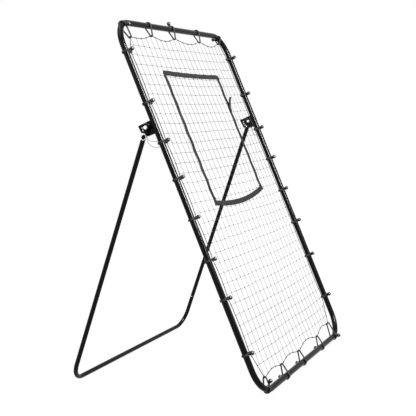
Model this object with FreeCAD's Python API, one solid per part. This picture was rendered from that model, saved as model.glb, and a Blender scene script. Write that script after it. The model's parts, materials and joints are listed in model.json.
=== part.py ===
"""Ball rebounder: a netted steel frame that leans back on a folding rear leg.

X runs across the frame, -Y is the side the ball comes from, Z is up.
Pieces of the frame are drawn in the frame's own flat coordinates (x, q, s):
x across, q behind the frame plane, s up the frame from the bottom rail's axis.
The leg is drawn hanging straight down from its pivot and is swung out afterwards.
"""
import FreeCAD, Part
import os
from math import acos, cos, degrees, pi, radians, sin, tan

V = FreeCAD.Vector

# Frame tubes
frame_width = 1115.0          # between the axes of the two side tubes
frame_height = 1700.0         # between the axes of the top and bottom rails
frame_tube_d = 27.0
frame_wall = 1.5
corner_radius = 111.0         # bend of the tube's axis
lean_deg = 20.7               # frame's tilt back from the vertical
stub_length = 90.0            # straight stretch of a rail tube past its bend
swage_length = 60.0           # reduced end of a side tube inside the rail tube
swage_clearance = 0.05

# Bracket plates
plate_thickness = 3.0
plate_depth = 77.0            # from the frame plane to the plate's rear edge
plate_low = 1185.0
plate_high = 1247.0
plate_low_rise = 3.0          # slope of the lower edge
plate_rear_rake = 4.0         # slope of the rear edge
plate_bevel_rear = 18.0       # height of the cut lower rear corner
plate_bevel_low = 27.0        # depth of the same corner
plate_corner_r = 3.0
weld_radius = 2.6
weld_end = 2.0                # plate left bare past each end of the weld

# Pivot and lock holes
pivot_q = 33.0
pivot_s = 1223.5
lock_radius = 30.0            # lock holes lie on this circle round the pivot
lock_step_deg = 21.3
free_lock_holes = 3
bolt_d = 8.0
bolt_head_af = 13.0
bolt_head_h = 5.3
nut_h = 6.5
bolt_tail = 3.0               # bolt end that stands past the nut
washer_d = 16.0
washer_t = 1.6
spacer_gap = 1.0              # room between the plate and the leg
part_gap = 0.3                # free gap between faces that move past each other
bolt_running_clearance = 0.05
bolt_hole_clearance = 0.1

# Lock pins and their rings
pin_d = 6.0
pin_hole_d = 6.5
pin_nose = 8.0                # pin end past the inner face of the plate
pin_head_d = 9.0
pin_head_length = 11.0
pin_head_gap = 0.5
ring_wire_d = 2.4
ring_mean_r = 12.8
ring_hole_d = 4.8
ring_rise = 0.4               # ring's top wire above the centre of its hole

# Rear leg
leg_tube_d = 21.0
leg_wall = 1.5
leg_length = 1233.0           # from the pivot to the axis of the floor bar
leg_bend_r = 85.0
leg_end_past_pivot = 15.0
leg_cap_t = 2.0
leg_cap_plug = 8.0
bow_seam_up = 150.0           # seam of tube and bow above the floor bar's axis
bow_spigot = 55.0
leg_fit_clearance = 0.05

# Snap buttons in the leg
button_up = 176.0             # above the floor bar's axis
button_d = 6.0
button_out = 3.0              # how far it stands out of the leg
button_hole_clearance = 0.2
button_flange_r = 4.0
button_flange_t = 1.2
button_flange_inset = 1.6
spring_strip_t = 0.8
spring_strip_w = 5.0
spring_height = 30.0

# Net and its border cord
border_d = 3.6
border_side_x = 515.0         # border axis where a side loop pulls it out
border_side_sag = 8.0         # how far it falls in between two loops
border_top_s = 1653.0
border_top_sag = 22.0
border_bottom_s = 53.0
border_bottom_rises = (14.0, 17.0, 22.0, 27.0)
border_pull_r = 40.0          # bend of the border cord at a loop
border_corner_r = 25.0
border_sag_r = 400.0
net_columns = 14
net_rows = 21
net_strand = 3.0
net_thickness = 2.0
net_border_gap = 0.4
net_notch_half = 7.5
net_notch_depth = 11.0

# Elastic loops and balls
elastic_d = 4.8
elastic_pair = 2.6            # half the distance between a loop's two strands
tube_gap = 0.3                # elastic to tube
border_gap = 0.8              # elastic to border cord
corner_border_gap = 2.4
neck_d = 8.0
ball_d = 19.0
ball_reach = 30.0             # from the tube's axis to the ball's centre
ball_bore_clearance = 0.05
left_loops = (181.0, 427.0, 601.0, 790.0, 971.0, 1140.0, 1320.0, 1559.0)
right_loops = (206.0, 437.0, 629.0, 811.0, 991.0, 1163.0, 1359.0, 1568.0)
rail_loops = (-260.0, -30.0, 245.0)
# Corner loops: side, rail, angle round the bend, border cord's radius from the bend's centre,
# ball's direction, ball's reach
corner_loops = (
    (-1, 1, 116.6, 50.3, 70.0, 30.0),
    (1, 1, 60.9, 81.3, -110.0, 30.0),
    (-1, -1, 248.8, 62.2, 38.0, 38.0),
    (1, -1, -86.0, 39.5, 95.0, 30.0),
)
front_ball_deg = 78.0         # ball's direction, from inward towards the front
back_ball_deg = -124.0
top_ball_deg = 180.0
low_ball_deg = -84.0

# Target band
band_width = 25.0
band_t = 1.6
band_corner_r = 18.0           # the two upper corners, outside
band_front = 1.6              # its rear face in front of the frame plane
band_left = -279.5
band_right = 292.0
band_top_left = 1467.0
band_top_right = 1457.0
band_bottom_left = 832.0
band_bottom_mid = 814.0
band_bottom_right = 850.0
tail_start = 1290.0
tail_rise = 48.0
tail_reach = 28.0
tail_bow = 5.0

# Pin lanyards: routes in (distance from the middle, q, s), hooked over the elastic loop below the plate
lanyard_d = 2.0
left_lanyard = (
    (585.6, 44.0, 1195.8),
    (585.6, 42.0, 1191.0),
    (585.8, 41.0, 1184.5),
    (586.2, 41.2, 1176.5),
    (586.8, 38.0, 1167.5),
    (587.0, 32.0, 1160.0),
    (584.5, 22.5, 1154.5),
    (574.0, 18.2, 1152.2),
    (563.0, 18.4, 1152.6),
    (552.5, 19.0, 1152.0),
    (543.5, 15.2, 1150.8),
    (537.5, 8.6, 1149.0),
    (534.6, 4.6, 1144.2),
    (534.6, 4.6, 1135.8),
    (537.5, 8.6, 1131.0),
    (543.5, 15.2, 1129.2),
    (552.5, 19.0, 1127.6),
    (563.0, 18.8, 1125.6),
    (574.0, 18.8, 1124.4),
    (584.0, 24.0, 1127.6),
    (588.0, 33.0, 1136.0),
    (589.4, 40.0, 1147.0),
    (589.6, 44.5, 1159.0),
    (589.4, 43.5, 1169.0),
    (588.8, 41.4, 1178.0),
    (588.4, 40.9, 1185.5),
    (588.4, 42.0, 1191.2),
    (588.4, 44.0, 1195.8),
)
right_lanyard = (
    (585.6, 44.0, 1195.8),
    (585.6, 42.0, 1191.0),
    (585.8, 41.0, 1184.5),
    (586.2, 41.0, 1177.0),
    (586.8, 38.0, 1170.0),
    (587.0, 31.0, 1166.4),
    (584.5, 22.5, 1168.6),
    (574.0, 18.2, 1172.6),
    (563.0, 18.4, 1175.2),
    (552.5, 19.0, 1175.0),
    (543.5, 15.2, 1173.8),
    (537.5, 8.6, 1172.0),
    (534.6, 4.6, 1167.2),
    (534.6, 4.6, 1158.8),
    (537.5, 8.6, 1154.0),
    (543.5, 15.2, 1152.2),
    (552.5, 19.0, 1149.4),
    (563.0, 18.8, 1144.0),
    (573.5, 19.0, 1137.5),
    (583.5, 23.0, 1132.5),
    (588.0, 32.0, 1132.0),
    (589.4, 40.0, 1139.5),
    (589.6, 44.4, 1151.0),
    (589.6, 45.0, 1162.5),
    (589.2, 43.4, 1172.0),
    (588.6, 41.2, 1180.0),
    (588.4, 41.0, 1186.5),
    (588.4, 42.2, 1191.4),
    (588.4, 44.0, 1195.8),
)

lean = radians(lean_deg)
tube_r = frame_tube_d / 2
leg_r = leg_tube_d / 2
side_x = frame_width / 2
loop_tube_r = tube_r + tube_gap + elastic_d / 2
# The bottom rail rests on the elastic loops that pass under it
rail_z = tube_r + tube_gap + elastic_d
leg_x = side_x + plate_thickness / 2 + spacer_gap + leg_r


def lean_point(q, s):
    """Height and depth of a point of the frame, before the origin is moved."""
    return s * sin(lean) + q * cos(lean), rail_z + s * cos(lean) - q * sin(lean)


pivot_y, pivot_z = lean_point(pivot_q, pivot_s)
leg_deg = degrees(acos((pivot_z - leg_r) / leg_length))
bar_y = pivot_y + leg_length * sin(radians(leg_deg))
fold_deg = lean_deg + leg_deg
lock_deg = fold_deg - 90.0    # leg's direction seen from the pivot, from +q towards +s



def corner_ball_front(rail, angle, ball_deg, ball_out):
    """Front of a corner loop's ball, before the origin is moved."""
    bend_s = frame_height - corner_radius if rail > 0 else corner_radius
    inward = ball_out * cos(radians(ball_deg))
    s = bend_s + (corner_radius - inward) * sin(radians(angle))
    return lean_point(-ball_out * sin(radians(ball_deg)), s)[0] - ball_d / 2


# The origin lies under the middle of the object's depth, on the floor
front_y = min(corner_ball_front(rail, angle, ball_deg, ball_out)
              for side, rail, angle, border_r, ball_deg, ball_out in corner_loops)
origin_y = (front_y + bar_y + leg_r) / 2

frame_place = FreeCAD.Placement(V(0, -origin_y, rail_z), FreeCAD.Rotation(V(1, 0, 0), -lean_deg))
leg_place = FreeCAD.Placement(V(0, pivot_y - origin_y, pivot_z), FreeCAD.Rotation(V(1, 0, 0), leg_deg))
pin_q = pivot_q + lock_radius * cos(radians(lock_deg))
pin_s = pivot_s + lock_radius * sin(radians(lock_deg))


def placed(shape, place):
    """Copy of the shape, moved to its place."""
    result = shape.copy()
    result.Placement = place.multiply(result.Placement)
    return result


def save(node, shapes, place):
    """Write one sub-part; identical pieces go in together."""
    items = [placed(shape, place) for shape in shapes]
    whole = items[0] if len(items) == 1 else Part.makeCompound(items)
    whole.exportStep("parts/%s.step" % node)
    print("%-24s %2d solids %12.1f mm3" % (node, len(whole.Solids), whole.Volume))


def x_rod(radius, x_from, x_to, q, s):
    """Solid rod along X."""
    low = min(x_from, x_to)
    return Part.makeCylinder(radius, abs(x_to - x_from), V(low, q, s), V(1, 0, 0))


def x_hexagon(across, x_from, x_to, q, s):
    """Hexagonal prism along X."""
    corner_r = across / 2 / cos(pi / 6)
    points = [V(min(x_from, x_to), q + corner_r * cos(pi / 3 * k), s + corner_r * sin(pi / 3 * k))
              for k in range(7)]
    return Part.Face(Part.makePolygon(points)).extrude(V(abs(x_to - x_from), 0, 0))


def path_radii(points, largest):
    """Bend radius at each inner point: 0.45 of the shorter run over the half turn's tangent."""
    radii = []
    for before, here, after in zip(points, points[1:], points[2:]):
        run_in = here.sub(before)
        run_out = after.sub(here)
        half = run_in.getAngle(run_out) / 2
        radii.append(min(largest, 0.45 * min(run_in.Length, run_out.Length) / tan(half)))
    return radii


def rounded_path(points, radii):
    """Straight runs joined by tangent arcs, one arc at each inner point."""
    edges = []
    start = points[0]
    for before, here, after, radius in zip(points, points[1:], points[2:], radii):
        into = here.sub(before).normalize()
        out = after.sub(here).normalize()
        half = into.getAngle(out) / 2
        setback = radius * tan(half)
        arc_from = here.sub(into * setback)
        arc_to = here.add(out * setback)
        towards = out.sub(into).normalize()
        arc_mid = here.add(towards * (radius / cos(half) - radius))
        edges.append(Part.LineSegment(start, arc_from).toShape())
        edges.append(Part.Arc(arc_from, arc_mid, arc_to).toShape())
        start = arc_to
    edges.append(Part.LineSegment(start, points[-1]).toShape())
    return Part.Wire(edges)


def swept(path, radius):
    """Round bar along a path."""
    first = path.OrderedEdges[0]
    at = first.valueAt(first.FirstParameter)
    along = first.tangentAt(first.FirstParameter)
    profile = Part.Wire(Part.makeCircle(radius, at, along))
    return path.makePipeShell([profile], True, False)


def tube_along(path, outer_d, wall):
    """Round tube along a path, open at both ends."""
    return swept(path, outer_d / 2).cut(swept(path, outer_d / 2 - wall))


def rail_tube(level, up):
    """Bent tube of one rail, with its two bends and short straight ends."""
    end_s = level - up * (corner_radius + stub_length)
    points = [V(-side_x, 0, end_s), V(-side_x, 0, level), V(side_x, 0, level), V(side_x, 0, end_s)]
    path = rounded_path(points, [corner_radius, corner_radius])
    return tube_along(path, frame_tube_d, frame_wall)


def side_tube(side):
    """Straight side tube with a reduced spigot at each end."""
    low = corner_radius + stub_length
    high = frame_height - low
    spigot_r = tube_r - frame_wall - swage_clearance
    body = Part.makeCylinder(tube_r, high - low, V(side * side_x, 0, low))
    spigot = Part.makeCylinder(spigot_r, high - low + 2 * swage_length,
                               V(side * side_x, 0, low - swage_length))
    bore = Part.makeCylinder(spigot_r - frame_wall, high - low + 2 * swage_length,
                             V(side * side_x, 0, low - swage_length))
    return body.fuse(spigot).cut(bore).removeSplitter()


def bracket_plate(side):
    """Plate welded to the side tube's rear: pivot hole, lock hole and three free lock holes."""
    x = side * side_x - plate_thickness / 2
    outline = [
        V(x, 0, plate_low),
        V(x, plate_depth - plate_bevel_low, plate_low + plate_low_rise),
        V(x, plate_depth - plate_rear_rake, plate_low + plate_bevel_rear),
        V(x, plate_depth, plate_high),
        V(x, 0, plate_high),
    ]
    plate = Part.Face(Part.makePolygon(outline + outline[:1])).extrude(V(plate_thickness, 0, 0))
    rear_edges = [edge for edge in plate.Edges
                  if edge.BoundBox.YMin > 1.0 and edge.BoundBox.XLength > plate_thickness / 2]
    plate = plate.makeFillet(plate_corner_r, rear_edges)
    plate = plate.cut(Part.makeCylinder(tube_r, frame_height, V(side * side_x, 0, 0)))
    reach = (side * side_x - plate_thickness, side * side_x + plate_thickness)
    plate = plate.cut(x_rod(bolt_d / 2 + bolt_hole_clearance, *reach, pivot_q, pivot_s))
    for hole in range(free_lock_holes + 1):
        angle = radians(lock_deg + hole * lock_step_deg)
        q = pivot_q + lock_radius * cos(angle)
        s = pivot_s + lock_radius * sin(angle)
        plate = plate.cut(x_rod(pin_hole_d / 2, *reach, q, s))
    return plate


def plate_weld(side, face):
    """Fillet of weld metal along one face of a plate, between the plate and the tube."""
    x = side * side_x + face * plate_thickness / 2
    bead = Part.makeCylinder(weld_radius, plate_high - plate_low - 2 * weld_end,
                             V(x, tube_r, plate_low + weld_end))
    bead = bead.cut(Part.makeCylinder(tube_r, frame_height, V(side * side_x, 0, 0)))
    slab = Part.makeBox(plate_thickness, plate_depth, frame_height,
                        V(side * side_x - plate_thickness / 2, 0, 0))
    beyond = Part.makeBox(weld_radius * 2, plate_depth, frame_height,
                          V(x - (2 * weld_radius if face > 0 else 0), 0, 0))
    return bead.cut(slab).cut(beyond)


def pivot_bolt(side):
    """Hexagon bolt from outside the leg, through leg and plate."""
    washer_out = leg_x + leg_r + part_gap + washer_t
    tail = side_x - plate_thickness / 2 - nut_h - bolt_tail
    head = x_hexagon(bolt_head_af, side * washer_out, side * (washer_out + bolt_head_h), pivot_q, pivot_s)
    shank = x_rod(bolt_d / 2, side * tail, side * (washer_out + 1), pivot_q, pivot_s)
    return head.fuse(shank)


def pivot_nut(side):
    """Nut on the plate's inner face."""
    face = side_x - plate_thickness / 2
    nut = x_hexagon(bolt_head_af, side * (face - nut_h), side * face, pivot_q, pivot_s)
    bore = x_rod(bolt_d / 2 + swage_clearance, side * (face - nut_h - 1), side * (face + 1), pivot_q, pivot_s)
    return nut.cut(bore)


def pivot_ring(side, inner_x, outer_x, diameter):
    """Washer or spacer on the pivot bolt, between two heights of |x|."""
    disc = x_rod(diameter / 2, side * inner_x, side * outer_x, pivot_q, pivot_s)
    bore_r = bolt_d / 2 + bolt_hole_clearance
    return disc.cut(x_rod(bore_r, side * (inner_x - 1), side * (outer_x + 1), pivot_q, pivot_s))


def leg_tube(side):
    """Upper tube of one leg: pivot hole, button hole and a lock hole that is open to the rear."""
    x = side * leg_x
    length = leg_end_past_pivot + leg_length - bow_seam_up
    tube = Part.makeCylinder(leg_r, length, V(x, 0, leg_end_past_pivot - length))
    tube = tube.cut(Part.makeCylinder(leg_r - leg_wall, length, V(x, 0, leg_end_past_pivot - length)))
    across = (x - leg_tube_d, x + leg_tube_d)
    tube = tube.cut(x_rod(bolt_d / 2 + bolt_running_clearance, *across, 0, 0))
    pin_hole = x_rod(pin_hole_d / 2, *across, 0, -lock_radius)
    sweep = lock_radius + pin_hole_d
    slot = Part.makeCylinder(lock_radius + pin_hole_d / 2, across[1] - across[0], V(across[0], 0, 0),
                             V(1, 0, 0))
    slot = slot.cut(Part.makeCylinder(lock_radius - pin_hole_d / 2, across[1] - across[0],
                                      V(across[0], 0, 0), V(1, 0, 0)))
    quarter = Part.makeBox(across[1] - across[0], sweep, sweep, V(across[0], 0, -sweep))
    slot = slot.common(quarter)
    tube = tube.cut(pin_hole).cut(slot)
    hole = Part.makeCylinder(button_d / 2 + button_hole_clearance, leg_tube_d,
                             V(x, 0, button_up - leg_length), V(-side, 0, 0))
    return tube.cut(hole)


def leg_bow():
    """Lower U of the leg, with a reduced spigot at the top of each arm."""
    top = bow_seam_up - leg_length
    points = [V(-leg_x, 0, top), V(-leg_x, 0, -leg_length), V(leg_x, 0, -leg_length), V(leg_x, 0, top)]
    bow = tube_along(rounded_path(points, [leg_bend_r, leg_bend_r]), leg_tube_d, leg_wall)
    spigot_r = leg_r - leg_wall - leg_fit_clearance
    bore_r = spigot_r - leg_wall
    for side in (-1, 1):
        x = side * leg_x
        sleeve = Part.makeCylinder(spigot_r, bow_spigot + leg_wall, V(x, 0, top - leg_wall))
        collar = Part.makeCylinder(leg_r - leg_wall, leg_wall, V(x, 0, top - leg_wall))
        sleeve = sleeve.fuse(collar).cut(Part.makeCylinder(bore_r, bow_spigot + 2 * leg_wall,
                                                          V(x, 0, top - leg_wall)))
        hole = Part.makeCylinder(button_d / 2 + button_hole_clearance, leg_tube_d,
                                 V(x, 0, button_up - leg_length), V(-side, 0, 0))
        bow = bow.fuse(sleeve).cut(hole)
    return bow.removeSplitter()


def leg_cap(side):
    """Plug in the upper end of a leg tube."""
    x = side * leg_x
    disc = Part.makeCylinder(leg_r, leg_cap_t, V(x, 0, leg_end_past_pivot))
    plug_r = leg_r - leg_wall - leg_fit_clearance
    plug = Part.makeCylinder(plug_r, leg_cap_plug + leg_cap_t / 2, V(x, 0, leg_end_past_pivot - leg_cap_plug))
    cap = disc.fuse(plug).removeSplitter()
    rim = [edge for edge in cap.Edges
           if edge.BoundBox.ZMin > leg_end_past_pivot + leg_cap_t / 2 and edge.BoundBox.XLength > leg_r]
    return cap.makeFillet(leg_cap_t / 2, rim)


spigot_bore_r = leg_r - leg_wall - leg_fit_clearance - leg_wall


def snap_button(side):
    """Domed button with a flange behind the spigot's wall."""
    z = button_up - leg_length
    flange_at = spigot_bore_r - button_flange_inset
    x = side * leg_x
    stem_r = button_d / 2
    stem = Part.makeCylinder(stem_r, leg_r + button_out - stem_r - flange_at, V(x - side * flange_at, 0, z),
                             V(-side, 0, 0))
    dome = Part.makeSphere(stem_r, V(x - side * (leg_r + button_out - stem_r), 0, z))
    flange = Part.makeCylinder(button_flange_r, button_flange_t, V(x - side * flange_at, 0, z), V(side, 0, 0))
    return stem.fuse(dome).fuse(flange).removeSplitter()


def button_spring(side):
    """Bent leaf spring behind the button, folded at the top."""
    x = side * leg_x
    z = button_up - leg_length
    near = -side * (spigot_bore_r - button_flange_inset - button_flange_t - part_gap)
    far = side * (spigot_bore_r - button_flange_inset)
    thick = side * spring_strip_t
    low = z - spring_strip_w
    high = z + spring_height
    points = [
        V(x + near, 0, low),
        V(x + near + thick, 0, low),
        V(x + near / 2 + thick, 0, high - spring_strip_w),
        V(x + far / 2 - thick, 0, high - spring_strip_w),
        V(x + far - thick, 0, low),
        V(x + far, 0, low),
        V(x + far / 2, 0, high),
        V(x + near / 2, 0, high),
    ]
    face = Part.Face(Part.makePolygon(points + points[:1]))
    return placed(face.extrude(V(0, spring_strip_w, 0)),
                  FreeCAD.Placement(V(0, -spring_strip_w / 2, 0), FreeCAD.Rotation()))


def level_rotation():
    """Turn that undoes the lean, for pieces that hang plumb on the leaning frame."""
    return FreeCAD.Rotation(V(1, 0, 0), lean_deg)


def lock_pin(side):
    """Round pin with a head that a level cross hole goes through."""
    nose = side_x - plate_thickness / 2 - pin_nose
    under_head = leg_x + leg_r + pin_head_gap
    shank = x_rod(pin_d / 2, side * (nose + pin_d / 2), side * (under_head + 1), pin_q, pin_s)
    tip = Part.makeSphere(pin_d / 2, V(side * (nose + pin_d / 2), pin_q, pin_s))
    head = x_rod(pin_head_d / 2, side * under_head, side * (under_head + pin_head_length), pin_q, pin_s)
    ring_x = under_head + pin_head_length / 2
    level = level_rotation().multVec(V(0, 1, 0))
    start = V(side * ring_x, pin_q, pin_s).sub(level * pin_head_d)
    hole = Part.makeCylinder(ring_hole_d / 2, 2 * pin_head_d, start, level)
    return shank.fuse(tip).fuse(head).cut(hole)


def pin_ring(side):
    """Split-free wire ring that hangs plumb in the pin's head."""
    ring_x = leg_x + leg_r + pin_head_gap + pin_head_length / 2
    down = level_rotation().multVec(V(0, 0, -1))
    centre = V(side * ring_x, pin_q, pin_s).add(down * (ring_mean_r - ring_rise))
    return Part.makeTorus(ring_mean_r, ring_wire_d / 2, centre, V(1, 0, 0))


def loop_places():
    """Every elastic loop: where, inward way, distance to the border cord, ball's way and reach, gap."""
    side_reach = side_x - border_side_x
    places = {"side": [], "top": [], "bottom": [], "corner": []}
    for side, heights in ((-1, left_loops), (1, right_loops)):
        for s in heights:
            places["side"].append((V(side * side_x, 0, s), V(-side, 0, 0), side_reach,
                                   front_ball_deg, ball_reach, border_gap))
    for x, ball in zip(rail_loops, (back_ball_deg, top_ball_deg, back_ball_deg)):
        places["top"].append((V(x, 0, frame_height), V(0, 0, -1), frame_height - border_top_s,
                              ball, ball_reach, border_gap))
    for x in rail_loops:
        places["bottom"].append((V(x, 0, 0), V(0, 0, 1), border_bottom_s,
                                 low_ball_deg, ball_reach, border_gap))
    for side, rail, angle, border_r, ball_deg, ball_out in corner_loops:
        out = V(cos(radians(angle)), 0, sin(radians(angle)))
        places["corner"].append((bend_centre(side, rail).add(out * corner_radius), out * -1,
                                 corner_radius - border_r, ball_deg, ball_out, corner_border_gap))
    return places


def bend_centre(side, rail):
    """Centre of one of the frame's four bends."""
    s = frame_height - corner_radius if rail > 0 else corner_radius
    return V(side * (side_x - corner_radius), 0, s)


def loop_placement(at, inward):
    """Placement that sends local X inward and local Z behind the frame."""
    behind = V(0, 1, 0)
    along = behind.cross(inward)
    matrix = FreeCAD.Matrix(inward.x, along.x, behind.x, at.x,
                            inward.y, along.y, behind.y, at.y,
                            inward.z, along.z, behind.z, at.z,
                            0, 0, 0, 1)
    return FreeCAD.Placement(matrix)


def ball_direction(degrees_inward):
    """Direction of a ball from the tube's axis, in the loop's own coordinates."""
    angle = radians(degrees_inward)
    return V(cos(angle), 0, -sin(angle))


def elastic_loop(reach, ball_deg, ball_out, gap):
    """Two strands round tube and border cord, joined by the neck that holds the ball."""
    loop_border_r = border_d / 2 + gap + elastic_d / 2
    open_angle = acos((loop_tube_r - loop_border_r) / reach)
    upper = V(cos(open_angle), 0, sin(open_angle))
    lower = V(cos(open_angle), 0, -sin(open_angle))
    border = V(reach, 0, 0)
    tube_up = upper * loop_tube_r
    tube_low = lower * loop_tube_r
    border_up = border.add(upper * loop_border_r)
    border_low = border.add(lower * loop_border_r)
    path = Part.Wire([
        Part.Arc(tube_up, V(-loop_tube_r, 0, 0), tube_low).toShape(),
        Part.LineSegment(tube_low, border_low).toShape(),
        Part.Arc(border_low, V(reach + loop_border_r, 0, 0), border_up).toShape(),
        Part.LineSegment(border_up, tube_up).toShape(),
    ])
    strand = swept(path, elastic_d / 2)
    one = placed(strand, FreeCAD.Placement(V(0, -elastic_pair, 0), FreeCAD.Rotation()))
    two = placed(strand, FreeCAD.Placement(V(0, elastic_pair, 0), FreeCAD.Rotation()))
    way = ball_direction(ball_deg)
    neck = Part.makeCylinder(neck_d / 2, ball_out - loop_tube_r, way * loop_tube_r, way)
    return one.fuse(two).fuse(neck)


def bungee_ball(ball_deg, ball_out):
    """Ball with the bore that takes the neck."""
    ball = Part.makeSphere(ball_d / 2, V(0, 0, ball_out))
    bore = Part.makeCylinder(neck_d / 2 + ball_bore_clearance, ball_d, V(0, 0, ball_out - ball_d))
    turn = FreeCAD.Rotation(V(0, 1, 0), ball_deg + 90.0)
    return placed(ball.cut(bore), FreeCAD.Placement(V(0, 0, 0), turn))


def loop_set(entries):
    """Loops and balls of one group, each at its place on the frame."""
    loops = []
    balls = []
    for at, inward, reach, ball_deg, ball_out, gap in entries:
        place = loop_placement(at, inward)
        loops.append(placed(elastic_loop(reach, ball_deg, ball_out, gap), place))
        balls.append(placed(bungee_ball(ball_deg, ball_out), place))
    return loops, balls


def side_border(side, heights):
    """Border points up one side with their bends: pulled out at each loop, sagging in between."""
    points = []
    for low, high in zip(heights, heights[1:]):
        points.append((V(side * border_side_x, 0, low), border_pull_r))
        points.append((V(side * (border_side_x - border_side_sag), 0, (low + high) / 2), border_sag_r))
    points.append((V(side * border_side_x, 0, heights[-1]), border_pull_r))
    return points


def corner_border(side, rail):
    """Border point at a corner loop, with its bend."""
    for loop_side, loop_rail, angle, border_r, _, _ in corner_loops:
        if (loop_side, loop_rail) == (side, rail):
            out = V(cos(radians(angle)), 0, sin(radians(angle)))
            return bend_centre(side, rail).add(out * border_r), border_corner_r


def rail_border(x_from, x_to, loop_s, sags):
    """Border points along one rail with their bends, between the two corner points."""
    stops = [x_from] + list(rail_loops) + [x_to]
    points = []
    for left, right, sag in zip(stops, stops[1:], sags):
        points.append((V((left + right) / 2, 0, loop_s + sag), border_sag_r))
        if right in rail_loops:
            points.append((V(right, 0, loop_s), border_pull_r))
    return points


def border_points():
    """Closed route of the border cord with its bends, from the lower left corner round."""
    bottom_left = corner_border(-1, -1)
    bottom_right = corner_border(1, -1)
    top_left = corner_border(-1, 1)
    top_right = corner_border(1, 1)
    top_sags = [-border_top_sag] * (len(rail_loops) + 1)
    bottom = rail_border(bottom_left[0].x, bottom_right[0].x, border_bottom_s, border_bottom_rises)
    top = rail_border(top_left[0].x, top_right[0].x, border_top_s, top_sags)
    right = [bottom_right] + side_border(1, right_loops) + [top_right]
    left = [bottom_left] + side_border(-1, left_loops) + [top_left]
    return bottom + right + top[::-1] + left[::-1]


def border_halves():
    """Two open wires that make up the border cord's axis, whose bends touch the loops' points."""
    entries = border_points()
    points = [point for point, bend in entries]
    bends = [bend for point, bend in entries]
    count = len(points)
    route = []
    radii = []
    for k in range(count):
        into = points[k].sub(points[k - 1])
        out = points[(k + 1) % count].sub(points[k])
        half = into.getAngle(out) / 2
        radius = min(bends[k], 0.45 * min(into.Length, out.Length) / tan(half))
        towards = out.normalize().sub(into.normalize()).normalize()
        route.append(points[k].sub(towards * (radius / cos(half) - radius)))
        radii.append(radius)
    middle = count // 2
    start = (route[-1] + route[0]) * 0.5
    turn = (route[middle - 1] + route[middle]) * 0.5
    return (rounded_path([start] + route[:middle] + [turn], radii[:middle]),
            rounded_path([turn] + route[middle:] + [start], radii[middle:]))


def net_solid(entries):
    """Flat net: one face with its gaps, toothed at the edge, clear of the elastic loops."""
    path = Part.Wire(Part.__sortEdges__([edge for half in border_halves() for edge in half.Edges]))
    inset = border_d / 2 + net_border_gap
    outline = Part.Face(path.makeOffset2D(-inset))
    if outline.Area > Part.Face(path).Area:
        outline = Part.Face(path.makeOffset2D(inset))
    box = path.BoundBox
    pitch_x = box.XLength / net_columns
    pitch_s = box.ZLength / net_rows
    gaps = []
    for column in range(net_columns):
        for row in range(net_rows):
            x_low = box.XMin + column * pitch_x + (net_strand / 2 if column else -pitch_x)
            x_high = box.XMin + (column + 1) * pitch_x - (net_strand / 2 if column < net_columns - 1 else -pitch_x)
            s_low = box.ZMin + row * pitch_s + (net_strand / 2 if row else -pitch_s)
            s_high = box.ZMin + (row + 1) * pitch_s - (net_strand / 2 if row < net_rows - 1 else -pitch_s)
            corners = [V(x_low, 0, s_low), V(x_high, 0, s_low), V(x_high, 0, s_high), V(x_low, 0, s_high)]
            gaps.append(Part.Face(Part.makePolygon(corners + corners[:1])))
    for at, inward, reach, _, _, _ in entries:
        along = V(0, 1, 0).cross(inward)
        inner = at.add(inward * (reach + net_notch_depth))
        outer = at
        corners = [outer.add(along * net_notch_half), inner.add(along * net_notch_half),
                   inner.sub(along * net_notch_half), outer.sub(along * net_notch_half)]
        gaps.append(Part.Face(Part.makePolygon(corners + corners[:1])))
    face = outline.cut(gaps)
    sheets = sorted(face.Faces, key=lambda sheet: sheet.Area)
    net = sheets[-1].extrude(V(0, net_thickness, 0))
    return placed(net, FreeCAD.Placement(V(0, -net_thickness / 2, 0), FreeCAD.Rotation()))


def target_band():
    """Flat webbing rectangle in front of the net, sagging along its lower edge."""
    bottom_left = V(band_left, 0, band_bottom_left)
    bottom_right = V(band_right, 0, band_bottom_right)
    middle = V((band_left + band_right) / 2, 0, band_bottom_mid)
    top_left = V(band_left, 0, band_top_left)
    top_right = V(band_right, 0, band_top_right)
    line = Part.Wire([
        Part.Arc(bottom_left, middle, bottom_right).toShape(),
        Part.LineSegment(bottom_right, top_right).toShape(),
        Part.LineSegment(top_right, top_left).toShape(),
        Part.LineSegment(top_left, bottom_left).toShape(),
    ])
    faces = [Part.Face(line.makeOffset2D(band_width / 2, 2)), Part.Face(line.makeOffset2D(-band_width / 2, 2))]
    faces.sort(key=lambda face: face.Area)
    band = faces[1].cut(faces[0]).extrude(V(0, -band_t, 0))
    corners = [edge for edge in band.Edges
               if edge.BoundBox.YLength > band_t / 2 and edge.BoundBox.ZMin > band_top_right
               and (edge.BoundBox.XMin < band_left or edge.BoundBox.XMax > band_right)]
    band = band.makeFillet(band_corner_r, corners)
    return placed(band, FreeCAD.Placement(V(0, -band_front, 0), FreeCAD.Rotation()))


def band_tail():
    """Free end of the webbing, curling up and away from the net."""
    x = band_right - band_width / 2
    rear = -band_front - band_t
    back = [V(x, rear, tail_start), V(x, rear - tail_reach / 2 + tail_bow, tail_start + tail_rise / 2),
            V(x, rear - tail_reach, tail_start + tail_rise)]
    front = [point.sub(V(0, band_t, 0)) for point in back]
    outline = Part.Wire([
        Part.Arc(*back).toShape(),
        Part.LineSegment(back[2], front[2]).toShape(),
        Part.Arc(*front[::-1]).toShape(),
        Part.LineSegment(front[0], back[0]).toShape(),
    ])
    return Part.Face(outline).extrude(V(band_width, 0, 0))


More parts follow.
